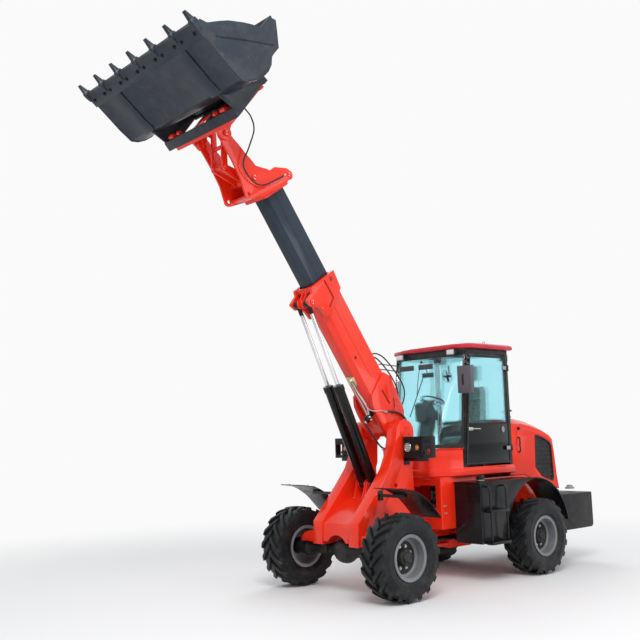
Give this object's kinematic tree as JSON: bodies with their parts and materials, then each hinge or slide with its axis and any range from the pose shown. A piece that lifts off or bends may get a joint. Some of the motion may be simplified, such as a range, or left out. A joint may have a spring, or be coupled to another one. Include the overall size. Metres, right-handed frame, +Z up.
{
  "type": "telehandler",
  "caption": "Articulated telescopic wheel loader with glazed cab, raised two-stage boom and toothed bucket, posable at its joints.",
  "frame": {"origin": "on the ground under the middle of the machine's bounding box", "axes": "+X forward, the way the bucket faces; +Y to the left, the door side; +Z up"},
  "size_m": [7.7892, 2.54, 6.8895],
  "materials": {
    "red_paint": "gloss",
    "slate_paint": "satin",
    "black_paint": "satin",
    "roof_crimson": "satin",
    "cab_black": "satin",
    "glass": "clear",
    "seat_fabric": "matte",
    "grille_black": "matte",
    "counterweight_black": "matte",
    "engine_grey": "matte",
    "axle_black": "satin",
    "cylinder_black": "gloss",
    "chrome": "polished",
    "rim": "satin",
    "tyre": "matte",
    "zinc": "satin"
  },
  "bodies": {
    "chassis_rear": {"rear_frame": "red_paint", "rear_axle": "axle_black", "engine_block": "engine_grey", "counterweight": "counterweight_black", "left_deck": "black_paint", "right_deck": "black_paint", "ladder": "black_paint", "cab_base": "red_paint", "cab_frame": "cab_black", "cab_roof": "roof_crimson", "windscreen": "glass", "right_window": "glass", "rear_window": "glass", "seat": "seat_fabric", "steering_console": "cab_black", "mirror_left": "cab_black", "mirror_right": "cab_black"},
    "engine_hood": {"hood": "red_paint", "hood_grille_left": "grille_black", "hood_grille_right": "grille_black"},
    "cab_door": {"door_frame": "cab_black", "door_panel": "cab_black", "door_glass": "glass"},
    "chassis_front": {"front_frame": "red_paint", "front_axle": "axle_black", "front_fender_left": "black_paint", "front_fender_right": "black_paint", "headlight_left": "black_paint", "headlight_right": "black_paint"},
    "boom_base": {"boom_outer": "red_paint", "boom_pipes": "zinc"},
    "boom_tip": {"boom_inner": "slate_paint", "boom_head": "red_paint"},
    "crank": {"bell_crank": "red_paint"},
    "link": {"tilt_link": "red_paint"},
    "rod_of_tilt": {"tilt_rod": "chrome"},
    "attachment": {"coupler": "red_paint", "bucket": "slate_paint"},
    "lift_barrels": {"lift_barrel_left": "cylinder_black", "lift_barrel_right": "cylinder_black"},
    "lift_rods": {"lift_rod_left": "chrome", "lift_rod_right": "chrome", "lift_eye_left": "cylinder_black", "lift_eye_right": "cylinder_black"},
    "steering_barrel_left": {"steer_barrel_left": "cylinder_black"},
    "steering_rod_left": {"steer_rod_left": "chrome"},
    "steering_barrel_right": {"steer_barrel_right": "cylinder_black"},
    "steering_rod_right": {"steer_rod_right": "chrome"},
    "wheel_front_left": {"front_left_tyre": "tyre", "front_left_rim": "rim"},
    "wheel_front_right": {"front_right_tyre": "tyre", "front_right_rim": "rim"},
    "wheel_rear_left": {"rear_left_tyre": "tyre", "rear_left_rim": "rim"},
    "wheel_rear_right": {"rear_right_tyre": "tyre", "rear_right_rim": "rim"}
  },
  "joints": [
    {"name": "steering", "type": "hinge", "parent": "chassis_rear", "child": "chassis_front", "pos_m": [-0.76774, 0, 0.565], "axis": [0, 0, 1], "range_deg": [-36, 36]},
    {"name": "boom_lift", "type": "hinge", "parent": "chassis_front", "child": "boom_base", "pos_m": [-0.10574, 0, 2.076], "axis": [0, -1, 0], "range_deg": [-85.4, 4.6]},
    {"name": "boom_extension", "type": "slide", "parent": "boom_base", "child": "boom_tip", "axis": [0.5678, 0, 0.8231], "range_m": [-1.18, 0.1]},
    {"name": "bucket_tilt", "type": "hinge", "parent": "boom_tip", "child": "attachment", "pos_m": [2.69056, 0, 5.75964], "axis": [0, 1, 0], "range_deg": [-57, 80]},
    {"name": "door_hinge", "type": "hinge", "parent": "chassis_rear", "child": "cab_door", "pos_m": [-2.07274, 0.735, 2.4], "axis": [0, 0, 1], "range_deg": [0, 85]},
    {"name": "hood_hinge", "type": "hinge", "parent": "chassis_rear", "child": "engine_hood", "pos_m": [-3.45274, 0, 1.085], "axis": [0, -1, 0], "range_deg": [0, 60]},
    {"name": "lift_barrel_swing", "type": "hinge", "parent": "chassis_front", "child": "lift_barrels", "pos_m": [0.19426, 0, 1.383], "axis": [0, -1, 0], "range_deg": [-85, 6]},
    {"name": "lift_rod_stroke", "type": "slide", "parent": "lift_barrels", "child": "lift_rods", "axis": [0.4161, 0, 0.9093], "range_m": [-1.03, 0.06]},
    {"name": "crank_swing", "type": "hinge", "parent": "boom_tip", "child": "crank", "pos_m": [2.23952, 0, 5.28721], "axis": [0, 1, 0], "range_deg": [-17, 12.5]},
    {"name": "link_swing", "type": "hinge", "parent": "crank", "child": "link", "pos_m": [2.59882, 0, 5.39773], "axis": [0, 1, 0], "range_deg": [-30, 42]},
    {"name": "tilt_rod_stroke", "type": "slide", "parent": "boom_tip", "child": "rod_of_tilt", "axis": [0.5678, 0, 0.8231], "range_m": [-0.065, 0.047]},
    {"name": "steering_barrel_left_swing", "type": "hinge", "parent": "chassis_rear", "child": "steering_barrel_left", "pos_m": [-1.25274, 0.3, 0.565], "axis": [0, 0, 1], "range_deg": [-17, 17]},
    {"name": "steering_rod_left_stroke", "type": "slide", "parent": "steering_barrel_left", "child": "steering_rod_left", "axis": [0.9997, -0.0226, 0], "range_m": [-0.19, 0.19]},
    {"name": "steering_barrel_right_swing", "type": "hinge", "parent": "chassis_rear", "child": "steering_barrel_right", "pos_m": [-1.25274, -0.3, 0.565], "axis": [0, 0, 1], "range_deg": [-17, 17]},
    {"name": "steering_rod_right_stroke", "type": "slide", "parent": "steering_barrel_right", "child": "steering_rod_right", "axis": [0.9997, 0.0226, 0], "range_m": [-0.19, 0.19]},
    {"name": "wheel_front_left_spin", "type": "hinge", "parent": "chassis_front", "child": "wheel_front_left", "pos_m": [0.64726, 0.985, 0.5375], "axis": [0, 1, 0], "continuous": true},
    {"name": "wheel_front_right_spin", "type": "hinge", "parent": "chassis_front", "child": "wheel_front_right", "pos_m": [0.64726, -0.985, 0.5375], "axis": [0, 1, 0], "continuous": true},
    {"name": "wheel_rear_left_spin", "type": "hinge", "parent": "chassis_rear", "child": "wheel_rear_left", "pos_m": [-2.18274, 0.985, 0.5375], "axis": [0, 1, 0], "continuous": true},
    {"name": "wheel_rear_right_spin", "type": "hinge", "parent": "chassis_rear", "child": "wheel_rear_right", "pos_m": [-2.18274, -0.985, 0.5375], "axis": [0, 1, 0], "continuous": true}
  ],
  "couplings": [
    {"joint": "lift_barrel_swing", "follows": "boom_lift", "ratio": 0.98},
    {"joint": "lift_rod_stroke", "follows": "boom_lift", "m_per_rad": 0.687},
    {"joint": "crank_swing", "follows": "bucket_tilt", "ratio": -0.2},
    {"joint": "link_swing", "follows": "bucket_tilt", "ratio": 0.5},
    {"joint": "tilt_rod_stroke", "follows": "bucket_tilt", "m_per_rad": -0.0454},
    {"joint": "steering_barrel_left_swing", "follows": "steering", "ratio": 0.45},
    {"joint": "steering_rod_left_stroke", "follows": "steering", "m_per_rad": -0.285},
    {"joint": "steering_barrel_right_swing", "follows": "steering", "ratio": 0.45},
    {"joint": "steering_rod_right_stroke", "follows": "steering", "m_per_rad": 0.285}
  ]
}
